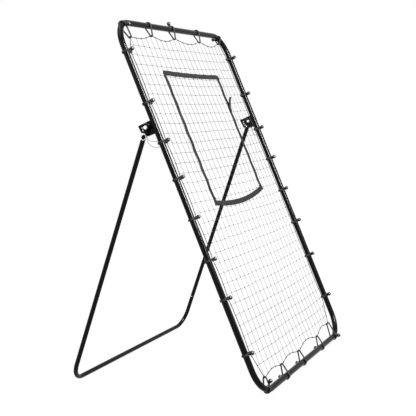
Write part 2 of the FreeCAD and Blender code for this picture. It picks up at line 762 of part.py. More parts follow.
def lanyard(side):
    """Cord from the ring to the elastic loop beside the side tube, and back."""
    route = left_lanyard if side < 0 else right_lanyard
    points = [V(side * x, q, s) for x, q, s in route]
    radii = path_radii(points, corner_radius)
    path = rounded_path(points, radii)
    cord = swept(path, lanyard_d / 2)
    expected = path.Length * pi * lanyard_d ** 2 / 4
    print("lanyard length %.1f mm, bend radii %s, volume over section times length %.4f"
          % (path.Length, " ".join("%.0f" % radius for radius in radii), cord.Volume / expected))
    return cord


def main():
    os.makedirs("parts", exist_ok=True)
    sides = {"left": -1, "right": 1}
    save("top_frame_tube", [rail_tube(frame_height, 1)], frame_place)
    save("bottom_frame_tube", [rail_tube(0.0, -1)], frame_place)
    for name, side in sides.items():
        save("side_tube_" + name, [side_tube(side)], frame_place)
        save("bracket_plate_" + name, [bracket_plate(side)], frame_place)
        save("leg_tube_" + name, [leg_tube(side)], leg_place)
        save("snap_button_" + name, [snap_button(side)], leg_place)
        save("button_spring_" + name, [button_spring(side)], leg_place)
        save("lock_pin_" + name, [lock_pin(side)], frame_place)
        save("pin_ring_" + name, [pin_ring(side)], frame_place)
        save("pin_lanyard_" + name, [lanyard(side)], frame_place)
    both = sides.values()
    save("plate_welds", [plate_weld(side, face) for side in both for face in (-1, 1)], frame_place)
    save("pivot_bolts", [pivot_bolt(side) for side in both], frame_place)
    save("pivot_nuts", [pivot_nut(side) for side in both], frame_place)
    washer_in = leg_x + leg_r + part_gap
    plate_face = side_x + plate_thickness / 2
    save("pivot_washers", [pivot_ring(side, washer_in, washer_in + washer_t, washer_d) for side in both],
         frame_place)
    save("pivot_spacers", [pivot_ring(side, plate_face, plate_face + spacer_gap - part_gap, washer_d)
                           for side in both], frame_place)
    save("leg_bow", [leg_bow()], leg_place)
    save("leg_end_caps", [leg_cap(side) for side in both], leg_place)

    places = loop_places()
    all_balls = []
    for group, entries in places.items():
        loops, balls = loop_set(entries)
        all_balls += balls
        save("elastic_loops_" + group, loops, frame_place)
    save("bungee_balls", all_balls, frame_place)
    halves = [swept(path, border_d / 2) for path in border_halves()]
    save("net_border_cord", [halves[0].fuse(halves[1])], frame_place)
    every = [entry for entries in places.values() for entry in entries]
    save("net", [net_solid(every)], frame_place)
    save("target_band", [target_band()], frame_place)
    save("target_band_tail", [band_tail()], frame_place)
    print("pivot at y %.2f z %.2f, leg %.3f deg, fold %.3f deg" % (pivot_y - origin_y, pivot_z, leg_deg, fold_deg))
    ring_x = leg_x + leg_r + pin_head_gap + pin_head_length / 2
    pin = frame_place.multVec(V(ring_x, pin_q, pin_s))
    print("pin ring hinge at x %.2f y %.2f z %.2f" % (pin.x, pin.y, pin.z + ring_rise))


main()
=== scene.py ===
"""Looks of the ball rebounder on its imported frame: net, webbing target, elastic loops, lanyards, paint.

Soft pieces are drawn in the frame's flat coordinates (x, q, s): x across, q behind the frame plane,
s up the frame from the bottom rail's axis, all in metres.
"""
import bpy
import json
from math import acos, cos, pi, radians, sin, sqrt
from mathutils import Matrix, Vector, noise


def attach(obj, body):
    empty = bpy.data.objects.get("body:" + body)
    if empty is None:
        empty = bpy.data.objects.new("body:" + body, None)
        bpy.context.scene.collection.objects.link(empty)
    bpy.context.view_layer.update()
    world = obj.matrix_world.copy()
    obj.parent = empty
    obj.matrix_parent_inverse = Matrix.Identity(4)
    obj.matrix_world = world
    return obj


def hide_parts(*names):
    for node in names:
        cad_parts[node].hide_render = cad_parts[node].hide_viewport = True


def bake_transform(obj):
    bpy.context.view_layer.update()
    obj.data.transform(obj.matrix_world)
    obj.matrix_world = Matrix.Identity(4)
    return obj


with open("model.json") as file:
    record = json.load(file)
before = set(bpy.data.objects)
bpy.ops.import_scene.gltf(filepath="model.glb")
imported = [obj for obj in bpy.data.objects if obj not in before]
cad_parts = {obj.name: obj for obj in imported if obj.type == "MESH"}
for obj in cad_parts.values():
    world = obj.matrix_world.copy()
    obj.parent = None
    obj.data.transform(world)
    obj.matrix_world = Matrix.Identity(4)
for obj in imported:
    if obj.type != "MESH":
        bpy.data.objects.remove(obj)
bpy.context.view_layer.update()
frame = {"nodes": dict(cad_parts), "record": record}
nodes = frame["nodes"]

# Place of the leaning frame
LEAN = radians(20.7)
ORIGIN_Y = 0.451512
RAIL_Z = 0.0186

# Camera, found from the object's edges
CAMERA_AZIMUTH, CAMERA_ELEVATION, CAMERA_ROLL = -64.64, 5.82, -2.91
CAMERA_LENS = 75.64
CAMERA_DISTANCE, CAMERA_RIGHT, CAMERA_UP = 4.2476, -0.01444, -0.01186
CAMERA_AIM_Z = 0.7546

# Steel frame, as far as the soft pieces need it
SIDE_X = 0.5575
FRAME_HEIGHT = 1.7
CORNER_R = 0.111

# Border cord
BORDER_D = 0.0036
BORDER_SIDE_X = 0.515
BORDER_SIDE_SAG = 0.008
BORDER_TOP_S = 1.653
BORDER_TOP_SAG = 0.022
BORDER_BOTTOM_S = 0.053
BORDER_BOTTOM_RISES = (0.014, 0.017, 0.022, 0.027)
BORDER_BOTTOM_FULLNESS = 1.35
BORDER_STEP = 0.016
BORDER_STRANDS, BORDER_GROOVE, BORDER_TURNS = 3, 0.16, 262.0

# Elastic loops
LEFT_LOOPS = (0.181, 0.427, 0.601, 0.790, 0.971, 1.140, 1.320, 1.559)
RIGHT_LOOPS = (0.206, 0.437, 0.629, 0.811, 0.991, 1.163, 1.359, 1.568)
RAIL_LOOPS = (-0.260, -0.030, 0.245)
# Corner loops: side, rail, angle round the bend, border cord's radius, ball's direction and reach
CORNER_LOOPS = (
    (-1, 1, 116.6, 0.0503, 70.0, 0.030),
    (1, 1, 60.9, 0.0813, -110.0, 0.030),
    (-1, -1, 248.8, 0.0622, 38.0, 0.038),
    (1, -1, -86.0, 0.0395, 95.0, 0.030),
)
FRONT_BALL, BACK_BALL, TOP_BALL, LOW_BALL = 78.0, -124.0, 180.0, -84.0
ELASTIC_D = 0.0048
ELASTIC_PAIR = 0.0026
LOOP_TUBE_R = 0.0162
BALL_REACH = 0.030
LOOP_GAP, CORNER_LOOP_GAP = 0.0008, 0.0024
LOOP_STEP = radians(24)

# Net
MESH_X = 0.0466
MESH_S = 0.0462
FIRST_ROW_S = 0.065
NET_COLUMNS = range(-10, 11)
NET_ROWS = range(1, 34)
TWINE_D = 0.0012

# Webbing target
BAND_WIDTH = 0.025
BAND_T = 0.0016
BAND_LEFT, BAND_RIGHT = -0.2795, 0.292
BAND_TOP_LEFT, BAND_TOP_RIGHT = 1.467, 1.457
BAND_BOTTOM_LEFT, BAND_BOTTOM_MID, BAND_BOTTOM_RIGHT = 0.832, 0.814, 0.850
BAND_TOP_SAG = 0.005
BAND_CORNER_R = 0.018
BAND_WAVE, BAND_STEP = 0.0011, 0.0025
BAND_LAYER = 0.0018           # the level webbing lies this far in front of the upright webbing

# Lanyards: routes in (distance from the middle, q, s), from the pin's ring round the elastic loop and back
LANYARD_D = 0.002
LEFT_LANYARD = (
    (0.5856, 0.0440, 1.1958), (0.5856, 0.0420, 1.1910), (0.5858, 0.0410, 1.1845), (0.5862, 0.0412, 1.1765),
    (0.5868, 0.0380, 1.1675), (0.5870, 0.0320, 1.1600), (0.5845, 0.0225, 1.1545), (0.5740, 0.0182, 1.1522),
    (0.5630, 0.0184, 1.1526), (0.5525, 0.0190, 1.1520), (0.5435, 0.0152, 1.1508), (0.5375, 0.0086, 1.1490),
    (0.5346, 0.0046, 1.1442), (0.5346, 0.0046, 1.1358), (0.5375, 0.0086, 1.1310), (0.5435, 0.0152, 1.1292),
    (0.5525, 0.0190, 1.1276), (0.5630, 0.0188, 1.1256), (0.5740, 0.0188, 1.1244), (0.5840, 0.0240, 1.1276),
    (0.5880, 0.0330, 1.1360), (0.5894, 0.0400, 1.1470), (0.5896, 0.0445, 1.1590), (0.5894, 0.0435, 1.1690),
    (0.5888, 0.0414, 1.1780), (0.5884, 0.0409, 1.1855), (0.5884, 0.0420, 1.1912), (0.5884, 0.0440, 1.1958),
)
RIGHT_LANYARD = (
    (0.5856, 0.0440, 1.1958), (0.5856, 0.0420, 1.1910), (0.5858, 0.0410, 1.1845), (0.5862, 0.0410, 1.1770),
    (0.5868, 0.0380, 1.1700), (0.5870, 0.0310, 1.1664), (0.5845, 0.0225, 1.1686), (0.5740, 0.0182, 1.1726),
    (0.5630, 0.0184, 1.1752), (0.5525, 0.0190, 1.1750), (0.5435, 0.0152, 1.1738), (0.5375, 0.0086, 1.1720),
    (0.5346, 0.0046, 1.1672), (0.5346, 0.0046, 1.1588), (0.5375, 0.0086, 1.1540), (0.5435, 0.0152, 1.1522),
    (0.5525, 0.0190, 1.1494), (0.5630, 0.0188, 1.1440), (0.5735, 0.0190, 1.1375), (0.5835, 0.0230, 1.1325),
    (0.5880, 0.0320, 1.1320), (0.5894, 0.0400, 1.1395), (0.5896, 0.0444, 1.1510), (0.5896, 0.0450, 1.1625),
    (0.5892, 0.0434, 1.1720), (0.5886, 0.0412, 1.1800), (0.5884, 0.0410, 1.1865), (0.5884, 0.0422, 1.1914),
    (0.5884, 0.0440, 1.1958),
)


def on_frame(x, q, s):
    """World place of a point of the leaning frame."""
    return Vector((x, s * sin(LEAN) + q * cos(LEAN) - ORIGIN_Y, RAIL_Z + s * cos(LEAN) - q * sin(LEAN)))


def make_camera():
    """Camera at the photograph's place and angle."""
    azimuth, elevation, roll = radians(CAMERA_AZIMUTH), radians(CAMERA_ELEVATION), radians(CAMERA_ROLL)
    back = Vector((sin(azimuth) * cos(elevation), -cos(azimuth) * cos(elevation), sin(elevation)))
    level = Vector((cos(azimuth), sin(azimuth), 0))
    upright = back.cross(level)
    right = level * cos(roll) + upright * sin(roll)
    up = upright * cos(roll) - level * sin(roll)
    data = bpy.data.cameras.new("photo_camera")
    data.lens = CAMERA_LENS
    data.sensor_width = 36.0
    camera = bpy.data.objects.new("photo_camera", data)
    bpy.context.scene.collection.objects.link(camera)
    aim = Vector((0, 0.45 - ORIGIN_Y, CAMERA_AIM_Z))
    place = aim + back * CAMERA_DISTANCE + right * CAMERA_RIGHT + up * CAMERA_UP
    turn = Matrix((right, up, back)).transposed().to_4x4()
    camera.matrix_world = Matrix.Translation(place) @ turn
    bpy.context.scene.camera = camera


make_camera()


# Meshes drawn along lines

class Skin:
    """Points, faces and texture places of one mesh while it is put together."""

    def __init__(self):
        self.points = []
        self.faces = []
        self.places = []

    def face(self, corners, places):
        self.faces.append(corners)
        self.places.extend(places)


def frames_along(line, closed):
    """Direction and turning-free side vector at each point of a line."""
    count = len(line)
    ways = []
    for k in range(count):
        before = line[k - 1] if k or closed else line[k]
        after = line[(k + 1) % count] if k < count - 1 or closed else line[k]
        ways.append((after - before).normalized())
    side = ways[0].orthogonal().normalized()
    sides = []
    for k in range(count):
        side = (side - ways[k] * side.dot(ways[k])).normalized()
        sides.append(side)
    return ways, sides


def add_tube(skin, line, radius, around, closed=False, lobes=0, lobe_depth=0.0, turns=0.0):
    """Round or lobed cord along a line; its texture runs in metres along and in turns around."""
    ways, sides = frames_along(line, closed)
    count = len(line)
    drift = 0.0
    if closed:
        carried = (sides[-1] - ways[0] * sides[-1].dot(ways[0])).normalized()
        drift = carried.angle(sides[0])
        if carried.cross(sides[0]).dot(ways[0]) < 0:
            drift = -drift
    base = len(skin.points)
    lengths = [0.0]
    for k in range(1, count + (1 if closed else 0)):
        lengths.append(lengths[-1] + (line[k % count] - line[k - 1]).length)
    total = lengths[-1]
    for k in range(count):
        other = ways[k].cross(sides[k])
        spin = (drift + 2 * pi * turns) * lengths[k] / total
        for j in range(around):
            angle = 2 * pi * j / around
            r = radius * (1 - lobe_depth * (0.5 - 0.5 * cos(lobes * angle))) if lobes else radius
            skin.points.append(line[k] + (sides[k] * cos(angle + spin) + other * sin(angle + spin)) * r)
    for k in range(count if closed else count - 1):
        here, there = base + k * around, base + (k + 1) % count * around
        if closed and k == count - 1:
            there = base
        for j in range(around):
            n = (j + 1) % around
            skin.face((here + j, here + n, there + n, there + j),
                      ((lengths[k], j / around), (lengths[k], (j + 1) / around),
                       (lengths[k + 1], (j + 1) / around), (lengths[k + 1], j / around)))
    if not closed:
        for k, outward in ((0, -1), (count - 1, 1)):
            ring = base + k * around
            tip = len(skin.points)
            skin.points.append(line[k] + ways[k] * (outward * radius * 0.5))
            for j in range(around):
                n = (j + 1) % around
                corners = (ring + j, ring + n, tip) if outward > 0 else (ring + n, ring + j, tip)
                u = lengths[k]
                skin.face(corners, ((u, j / around), (u, (j + 1) / around), (u, 0.5)))


def add_ribbon(skin, line, facing, width, thickness, trims=None):
    """Flat webbing along a line, with soft edges; facing gives the way its front looks at each point,
    trims how much its lower and upper side are cut in there."""
    ways, _ = frames_along(line, False)
    half, deep = width / 2, thickness / 2
    profile = [(-half, 0), (-half * 0.97, deep * 0.8), (-half * 0.88, deep), (0, deep), (half * 0.88, deep),
               (half * 0.97, deep * 0.8), (half, 0), (half * 0.97, -deep * 0.8), (half * 0.88, -deep),
               (0, -deep), (-half * 0.88, -deep), (-half * 0.97, -deep * 0.8)]
    around = len(profile)
    base = len(skin.points)
    length = 0.0
    lengths = []
    for k, point in enumerate(line):
        if k:
            length += (point - line[k - 1]).length
        lengths.append(length)
        front = (facing[k] - ways[k] * facing[k].dot(ways[k])).normalized()
        across = ways[k].cross(front)
        low, high = trims[k] if trims else (0.0, 0.0)
        for a, d in profile:
            narrower = 1 - (high if a > 0 else low) / half
            skin.points.append(point + across * (a * narrower) + front * d)
    for k in range(len(line) - 1):
        here, there = base + k * around, base + (k + 1) * around
        for j in range(around):
            n = (j + 1) % around
            a, b = profile[j][0] / width + 0.5, profile[n][0] / width + 0.5
            skin.face((here + j, here + n, there + n, there + j),
                      ((lengths[k], a), (lengths[k], b), (lengths[k + 1], b), (lengths[k + 1], a)))
    first = tuple(base + j for j in reversed(range(around)))
    last = tuple(base + (len(line) - 1) * around + j for j in range(around))
    for ring, u in ((first, 0.0), (last, length)):
        skin.face(ring, tuple((u, j / around) for j in range(around)))


def piece_from(name, skin, material, body="frame"):
    """Object made of a skin, with its finish, riding on a body."""
    mesh = bpy.data.meshes.new(name)
    mesh.from_pydata([tuple(point) for point in skin.points], [], skin.faces)
    layer = mesh.uv_layers.new(name="along_cord")
    layer.data.foreach_set("uv", [value for place in skin.places for value in place])
    mesh.polygons.foreach_set("use_smooth", [True] * len(mesh.polygons))
    mesh.materials.append(material)
    mesh.update()
    piece = bpy.data.objects.new(name, mesh)
    bpy.context.scene.collection.objects.link(piece)
    if body:
        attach(piece, body)
    return piece


def through(points, steps, closed=False):
    """Smooth line through every point."""
    line = []
    count = len(points)
    for k in range(count if closed else count - 1):
        a = points[k - 1] if k or closed else points[k]
        b = points[k]
        c = points[(k + 1) % count]
        d = points[(k + 2) % count] if closed or k + 2 < count else c
        for j in range(steps):
            t = j / steps
            line.append(((b * 2) + (c - a) * t + (a * 2 - b * 5 + c * 4 - d) * (t * t)
                         + (b * 3 - a - c * 3 + d) * (t * t * t)) / 2)
    if not closed:
        line.append(points[-1])
    return line


# Node groups that several finishes share

def node_group(name, inputs, outputs):
    """New shader group with named inputs (name, kind, value) and outputs (name, kind)."""
    tree = bpy.data.node_groups.new(name, "ShaderNodeTree")
    for label, kind, value in inputs:
        socket = tree.interface.new_socket(name=label, in_out="INPUT", socket_type=kind)
        if value is not None:
            socket.default_value = value
    for label, kind in outputs:
        tree.interface.new_socket(name=label, in_out="OUTPUT", socket_type=kind)
    return tree, tree.nodes.new("NodeGroupInput"), tree.nodes.new("NodeGroupOutput")


def add_node(tree, kind, links=(), **settings):
    """Node with its settings; links are (input, source socket or value)."""
    node = tree.nodes.new(kind)
    for key, value in settings.items():
        setattr(node, key, value)
    for key, source in links:
        if isinstance(source, bpy.types.NodeSocket):
            tree.links.new(source, node.inputs[key])
        else:
            node.inputs[key].default_value = source
    return node


def math_node(tree, operation, *values):
    """Result of one Math node."""
    node = add_node(tree, "ShaderNodeMath", list(enumerate(values)), operation=operation)
    return node.outputs[0]


def surface_grain_group():
    """Fine height and slow mottling of a painted, plated or moulded surface."""
    tree, given, result = node_group(
        "surface_grain",
        [("Vector", "NodeSocketVector", None), ("Grain Scale", "NodeSocketFloat", 900.0),
         ("Mottle Scale", "NodeSocketFloat", 14.0)],
        [("Height", "NodeSocketFloat"), ("Mottle", "NodeSocketFloat")])
    grain = add_node(tree, "ShaderNodeTexNoise", [("Vector", given.outputs["Vector"]),
                                                  ("Scale", given.outputs["Grain Scale"]), ("Detail", 2.0)])
    mottle = add_node(tree, "ShaderNodeTexNoise", [("Vector", given.outputs["Vector"]),
                                                   ("Scale", given.outputs["Mottle Scale"]), ("Detail", 4.0)])
    tree.links.new(grain.outputs[0], result.inputs["Height"])
    tree.links.new(mottle.outputs[0], result.inputs["Mottle"])
    return tree


def edge_wear_group():
    """Mask of rubbed edges: where a rounded normal leaves the true one, broken up by noise."""
    tree, given, result = node_group(
        "edge_wear",
        [("Vector", "NodeSocketVector", None), ("Width", "NodeSocketFloat", 0.0008),
         ("Amount", "NodeSocketFloat", 0.5)],
        [("Mask", "NodeSocketFloat")])
    rounded = add_node(tree, "ShaderNodeBevel", [("Radius", given.outputs["Width"])], samples=4)
    true = add_node(tree, "ShaderNodeNewGeometry")
    dot = add_node(tree, "ShaderNodeVectorMath", [(0, rounded.outputs[0]), (1, true.outputs["Normal"])],
                   operation="DOT_PRODUCT")
    sharp = add_node(tree, "ShaderNodeMapRange", [("Value", dot.outputs["Value"]), ("From Min", 0.985),
                                                  ("From Max", 0.85), ("To Min", 0.0), ("To Max", 1.0)])
    patches = add_node(tree, "ShaderNodeTexNoise", [("Vector", given.outputs["Vector"]), ("Scale", 160.0),
                                                    ("Detail", 5.0)])
    broken = add_node(tree, "ShaderNodeMapRange", [("Value", patches.outputs[0]), ("From Min", 0.42),
                                                   ("From Max", 0.62)])
    both = math_node(tree, "MULTIPLY", sharp.outputs[0], broken.outputs[0])
    tree.links.new(math_node(tree, "MULTIPLY", both, given.outputs["Amount"]), result.inputs["Mask"])
    return tree


def settled_dust_group():
    """Mask of the thin dust that settles on faces that look up."""
    tree, given, result = node_group(
        "settled_dust",
        [("Vector", "NodeSocketVector", None), ("Amount", "NodeSocketFloat", 0.3)],
        [("Mask", "NodeSocketFloat")])
    shape = add_node(tree, "ShaderNodeNewGeometry")
    split = add_node(tree, "ShaderNodeSeparateXYZ", [(0, shape.outputs["Normal"])])
    upward = add_node(tree, "ShaderNodeMapRange", [("Value", split.outputs["Z"]), ("From Min", 0.35),
                                                   ("From Max", 1.0)])
    specks = add_node(tree, "ShaderNodeTexNoise", [("Vector", given.outputs["Vector"]), ("Scale", 60.0),
                                                   ("Detail", 6.0)])
    broken = add_node(tree, "ShaderNodeMapRange", [("Value", specks.outputs[0]), ("From Min", 0.38),
                                                   ("From Max", 0.75)])
    both = math_node(tree, "MULTIPLY", upward.outputs[0], broken.outputs[0])
    tree.links.new(math_node(tree, "MULTIPLY", both, given.outputs["Amount"]), result.inputs["Mask"])
    return tree


def braided_sheath_group():
    """Crossing yarns of a braid in a cord's own texture places: metres along, turns around."""
    tree, given, result = node_group(
        "braided_sheath",
        [("Vector", "NodeSocketVector", None), ("Yarns Around", "NodeSocketFloat", 8.0),
         ("Yarns Per Metre", "NodeSocketFloat", 500.0)],
        [("Height", "NodeSocketFloat"), ("Crossing", "NodeSocketFloat")])
    split = add_node(tree, "ShaderNodeSeparateXYZ", [(0, given.outputs["Vector"])])
    around = math_node(tree, "MULTIPLY", split.outputs["Y"], given.outputs["Yarns Around"])
    along = math_node(tree, "MULTIPLY", split.outputs["X"], given.outputs["Yarns Per Metre"])
    waves = []
    for operation in ("ADD", "SUBTRACT"):
        slant = math_node(tree, operation, around, along)
        waves.append(math_node(tree, "SINE", math_node(tree, "MULTIPLY", slant, 2 * pi)))
    height = math_node(tree, "MAXIMUM", *[math_node(tree, "ABSOLUTE", wave) for wave in waves])
    crossing = math_node(tree, "MULTIPLY", waves[0], waves[1])
    tree.links.new(height, result.inputs["Height"])
    tree.links.new(math_node(tree, "MULTIPLY_ADD", crossing, 0.5, 0.5), result.inputs["Crossing"])
    return tree


def webbing_weave_group():
    """Ribs of flat webbing: a herringbone that turns at the middle, with plain selvedges."""
    tree, given, result = node_group(
        "webbing_weave",
        [("Vector", "NodeSocketVector", None), ("Ribs Per Metre", "NodeSocketFloat", 700.0),
         ("Ends Across", "NodeSocketFloat", 14.0)],
        [("Height", "NodeSocketFloat"), ("Selvedge", "NodeSocketFloat")])
    split = add_node(tree, "ShaderNodeSeparateXYZ", [(0, given.outputs["Vector"])])
    from_middle = math_node(tree, "ABSOLUTE", math_node(tree, "SUBTRACT", split.outputs["Y"], 0.5))
    slant = math_node(tree, "MULTIPLY", from_middle, 5.0)
    along = math_node(tree, "MULTIPLY", split.outputs["X"], given.outputs["Ribs Per Metre"])
    rib = math_node(tree, "SINE", math_node(tree, "MULTIPLY", math_node(tree, "ADD", along, slant), 2 * pi))
    ends = math_node(tree, "MULTIPLY", split.outputs["Y"], given.outputs["Ends Across"])
    end = math_node(tree, "SINE", math_node(tree, "MULTIPLY", ends, 2 * pi))
    tree.links.new(math_node(tree, "MULTIPLY_ADD", rib, 0.5, math_node(tree, "MULTIPLY", end, 0.3)),
                   result.inputs["Height"])
    edge = add_node(tree, "ShaderNodeMapRange", [("Value", from_middle), ("From Min", 0.40),
                                                 ("From Max", 0.44)])
    tree.links.new(edge.outputs[0], result.inputs["Selvedge"])
    return tree


surface_grain = surface_grain_group()
edge_wear = edge_wear_group()
settled_dust = settled_dust_group()
braided_sheath = braided_sheath_group()
webbing_weave = webbing_weave_group()


def place_group(tree, group, links):
    """One of the shared groups, placed with its own values."""
    return add_node(tree, "ShaderNodeGroup", links, node_tree=group)


def start_material(name, **shader):
    """Material with its Principled shader; settings are plain socket values."""
    material = bpy.data.materials.new(name)
    material.use_nodes = True
    tree = material.node_tree
    principled = tree.nodes["Principled BSDF"]
    for key, value in shader.items():
        principled.inputs[key.replace("_", " ")].default_value = value
    return material, tree, principled


def mixed(tree, factor, first, second):
    """Colour between two others, by a mask."""
    factor_in, first_in, second_in, colour_out = 0, 6, 7, 2
    node = add_node(tree, "ShaderNodeMix", [(factor_in, factor), (first_in, first), (second_in, second)],
                    data_type="RGBA")
    return node.outputs[colour_out]


def spread(tree, value, low, high):
    """Value from 0 to 1 brought to a range."""
    return add_node(tree, "ShaderNodeMapRange", [("Value", value), ("From Min", 0.3), ("From Max", 0.7),
                                                 ("To Min", low), ("To Max", high)]).outputs[0]


def bump(tree, height, strength, distance):
    """Normal from a height."""
    return add_node(tree, "ShaderNodeBump", [("Height", height), ("Strength", strength),
                                             ("Distance", distance)]).outputs[0]


def hard_finish(name, dark, light, worn, rough, grain_scale, grain_depth, wear, dust, **shader):
    """Painted, plated or moulded finish with grain, mottling, rubbed edges and a little dust."""
    material, tree, principled = start_material(name, **shader)
    at = add_node(tree, "ShaderNodeTexCoord").outputs["Object"]
    grain = place_group(tree, surface_grain, [("Vector", at), ("Grain Scale", grain_scale)])
    rubbed = place_group(tree, edge_wear, [("Vector", at), ("Amount", wear)])
    dusty = place_group(tree, settled_dust, [("Vector", at), ("Amount", dust)])
    colour = mixed(tree, spread(tree, grain.outputs["Mottle"], 0.0, 1.0), dark, light)
    colour = mixed(tree, rubbed.outputs["Mask"], colour, worn)
    colour = mixed(tree, dusty.outputs["Mask"], colour, (0.34, 0.32, 0.29, 1))
    tree.links.new(colour, principled.inputs["Base Color"])
    roughness = spread(tree, grain.outputs["Mottle"], rough[0], rough[1])
    tree.links.new(math_node(tree, "ADD", roughness, math_node(tree, "MULTIPLY", dusty.outputs["Mask"], 0.3)),
                   principled.inputs["Roughness"])
    tree.links.new(bump(tree, grain.outputs["Height"], 0.5, grain_depth), principled.inputs["Normal"])
    return material


def cord_finish(name, dark, light, rough, around, along, depth, **shader):
    """Braided or twisted cord whose yarns show in height, and in colour as painted shade: darker in the
    grooves between yarns, lighter on their crowns, with random patches.
    """
    material, tree, principled = start_material(name, **shader)
    texture = add_node(tree, "ShaderNodeTexCoord")
    braid = place_group(tree, braided_sheath, [("Vector", texture.outputs["UV"]), ("Yarns Around", around),
                                               ("Yarns Per Metre", along)])
    grain = place_group(tree, surface_grain, [("Vector", texture.outputs["Object"]), ("Grain Scale", 2500.0),
                                              ("Mottle Scale", 40.0)])
    patches = spread(tree, grain.outputs["Mottle"], 0.6, 1.0)
    # Painted shade: the braid's height darkens the colour in the grooves between yarns and lightens it on the
    # crowns; the patches are random tone.
    painted_yarn_shade_and_mottle = math_node(tree, "MULTIPLY", braid.outputs["Height"], patches)
    tree.links.new(mixed(tree, painted_yarn_shade_and_mottle, dark, light), principled.inputs["Base Color"])
    tree.links.new(spread(tree, grain.outputs["Mottle"], rough, rough + 0.12), principled.inputs["Roughness"])
    height = math_node(tree, "MULTIPLY_ADD", grain.outputs["Height"], 0.25, braid.outputs["Height"])
    tree.links.new(bump(tree, height, 0.7, depth), principled.inputs["Normal"])
    return material


def webbing_finish():
    """Dark grey webbing with herringbone ribs in height, and in colour as painted shade (darker in the
    grooves, lighter on the crests), with darker selvedges.
    """
    material, tree, principled = start_material("grey_webbing", Specular_IOR_Level=0.12, Sheen_Weight=0.08)
    texture = add_node(tree, "ShaderNodeTexCoord")
    weave = place_group(tree, webbing_weave, [("Vector", texture.outputs["UV"])])
    grain = place_group(tree, surface_grain, [("Vector", texture.outputs["Object"]), ("Grain Scale", 1800.0),
                                              ("Mottle Scale", 30.0)])
    # Painted shade: the rib height makes the colour darker in the grooves and lighter on the crests.
    rib = math_node(tree, "MULTIPLY_ADD", weave.outputs["Height"], 0.35, 0.5)
    colour = mixed(tree, rib, (0.004, 0.004, 0.0042, 1), (0.014, 0.014, 0.0145, 1))
    colour = mixed(tree, weave.outputs["Selvedge"], colour, (0.005, 0.005, 0.0052, 1))
    tree.links.new(colour, principled.inputs["Base Color"])
    tree.links.new(spread(tree, grain.outputs["Mottle"], 0.68, 0.85), principled.inputs["Roughness"])
    height = math_node(tree, "MULTIPLY_ADD", grain.outputs["Height"], 0.2, weave.outputs["Height"])
    tree.links.new(bump(tree, height, 0.8, 0.0004), principled.inputs["Normal"])
    return material


powder_coat = hard_finish(
    "black_powder_coat", (0.0024, 0.0024, 0.0025, 1), (0.0040, 0.0040, 0.0041, 1), (0.04, 0.04, 0.042, 1),
    (0.15, 0.21), 420.0, 0.00002, 0.6, 0.008, Specular_IOR_Level=0.09)
zinc_steel = hard_finish(
    "zinc_steel", (0.60, 0.61, 0.63, 1), (0.78, 0.79, 0.80, 1), (0.85, 0.85, 0.86, 1),
    (0.26, 0.38), 2600.0, 0.00002, 0.5, 0.05, Metallic=1.0)
black_plastic = hard_finish(
    "black_plastic", (0.009, 0.009, 0.010, 1), (0.014, 0.014, 0.015, 1), (0.03, 0.03, 0.031, 1),
    (0.22, 0.32), 1600.0, 0.00003, 0.3, 0.03, Specular_IOR_Level=0.4)
elastic_finish = cord_finish("black_elastic", (0.004, 0.004, 0.004, 1), (0.016, 0.016, 0.017, 1), 0.6,
                             8.0, 420.0, 0.00035, Specular_IOR_Level=0.25)
border_finish = cord_finish("black_border", (0.004, 0.004, 0.004, 1), (0.018, 0.018, 0.019, 1), 0.6,
                            12.0, 900.0, 0.0002, Specular_IOR_Level=0.25)
netting_finish = cord_finish("black_netting", (0.004, 0.004, 0.004, 1), (0.016, 0.016, 0.016, 1), 0.65,
                             3.0, 380.0, 0.0002, Specular_IOR_Level=0.2)
lanyard_finish = cord_finish("grey_cord", (0.05, 0.05, 0.052, 1), (0.13, 0.13, 0.135, 1), 0.5,
                             6.0, 600.0, 0.00015, Specular_IOR_Level=0.35)
band_finish = webbing_finish()

CAD_FINISHES = {
    "black_powder_coat": powder_coat,
    "zinc_steel": zinc_steel,
    "black_plastic": black_plastic,
    "grey_cord": lanyard_finish,
    "black_netting": netting_finish,
    "black_elastic": elastic_finish,
    "grey_webbing": band_finish,
}
for row in frame["record"]["subparts"]:
    for slot in nodes[row["node"]].material_slots:
        slot.material = CAD_FINISHES[row["material_slot"]]


# Elastic loops

def bend_centre(side, rail):
    """Centre of one of the frame's four bends, in (x, s)."""
    return side * (SIDE_X - CORNER_R), FRAME_HEIGHT - CORNER_R if rail > 0 else CORNER_R


def corner_out(angle):
    """Outward direction at a corner loop, in (x, s)."""
    return cos(radians(angle)), sin(radians(angle))


